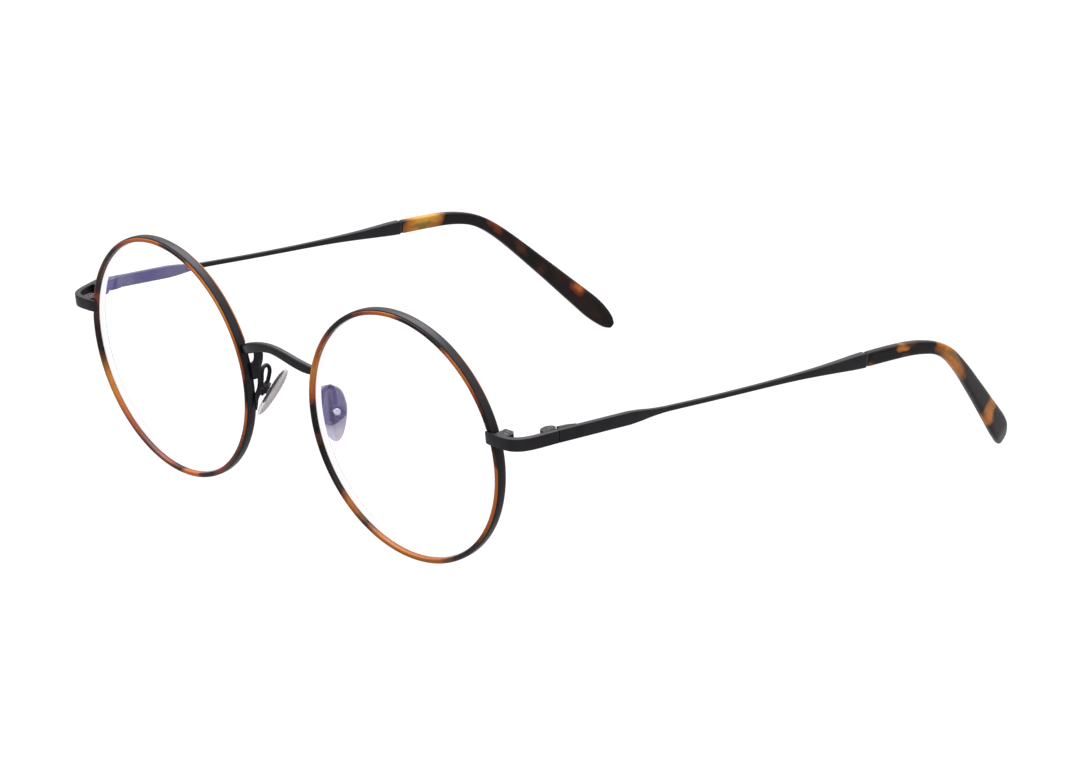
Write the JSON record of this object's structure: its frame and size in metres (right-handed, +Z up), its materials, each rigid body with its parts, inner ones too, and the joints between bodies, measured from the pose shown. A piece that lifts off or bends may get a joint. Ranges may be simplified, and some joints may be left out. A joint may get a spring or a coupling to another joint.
{
  "type": "round wire eyeglasses",
  "caption": "Round metal eyeglasses with tortoise acetate inner rims, saddle bridge, adjustable nose pads, folding hinged temples and drop-end acetate tips.",
  "frame": {"origin": "bottom centre of the box: midway between the two temples and midway from the front to the temple ends, on the plane that the rims and the temple ends stand on", "axes": "+X towards the wearer's left, +Y from the front back along the temples, +Z up; the front leans back by 8.7 degrees as the frame stands on its rims and temple ends"},
  "size_m": [0.14, 0.1572, 0.0509],
  "materials": {
    "black_metal": "matte charcoal black plating over metal, soft highlights, faint satin grain",
    "tortoise_acetate": "polished cellulose acetate, amber and red-brown patches in dark brown-black",
    "clear_lens": "clear demo lens with a faint violet-blue anti-reflection sheen and a ground bright edge",
    "pad_silicone": "milky translucent pad, smooth satin",
    "pad_metal": "plain plated metal core with a bright stud",
    "screw_steel": "turned and slotted small screws"
  },
  "bodies": {
    "front": {"rim_band_left": "black_metal", "rim_band_right": "black_metal", "rim_insert_left": "tortoise_acetate", "rim_insert_right": "tortoise_acetate", "lens_left": "clear_lens", "lens_right": "clear_lens", "pad_bracket_left": "black_metal", "pad_bracket_right": "black_metal", "pad_arm_left": "black_metal", "pad_arm_right": "black_metal", "pad_box_left": "black_metal", "pad_box_right": "black_metal", "endpiece_left": "black_metal", "endpiece_right": "black_metal", "closing_block_upper_left": "black_metal", "closing_block_upper_right": "black_metal", "closing_block_lower_left": "black_metal", "closing_block_lower_right": "black_metal", "rim_screw_left": "screw_steel", "rim_screw_right": "screw_steel", "hinge_front_leaf_left": "black_metal", "hinge_front_leaf_right": "black_metal", "hinge_screw_left": "screw_steel", "hinge_screw_right": "screw_steel", "bridge": "black_metal"},
    "temple_left": {"hinge_temple_leaf_left": "black_metal", "temple_left": "black_metal", "temple_tip_left": "tortoise_acetate"},
    "temple_right": {"hinge_temple_leaf_right": "black_metal", "temple_right": "black_metal", "temple_tip_right": "tortoise_acetate"},
    "pad_left": {"nose_pad_left": "pad_silicone", "pad_core_left": "pad_metal"},
    "pad_right": {"nose_pad_right": "pad_silicone", "pad_core_right": "pad_metal"}
  },
  "joints": [
    {"name": "temple_left_fold", "type": "hinge", "parent": "front", "child": "temple_left", "pos_m": [0.06672, -0.06641, 0.03216], "axis": [0, -0.1511, 0.9885], "range_deg": [0, 90]},
    {"name": "temple_right_fold", "type": "hinge", "parent": "front", "child": "temple_right", "pos_m": [-0.06672, -0.06641, 0.03216], "axis": [0, 0.1511, -0.9885], "range_deg": [0, 87]},
    {"name": "nose_pad_left_rock", "type": "hinge", "parent": "front", "child": "pad_left", "pos_m": [0.01086, -0.06956, 0.02363], "axis": [0.5067, 0.8612, 0.0396], "range_deg": [-8, 8]},
    {"name": "nose_pad_right_rock", "type": "hinge", "parent": "front", "child": "pad_right", "pos_m": [-0.01086, -0.06956, 0.02363], "axis": [-0.5067, 0.8612, 0.0396], "range_deg": [-8, 8]}
  ]
}
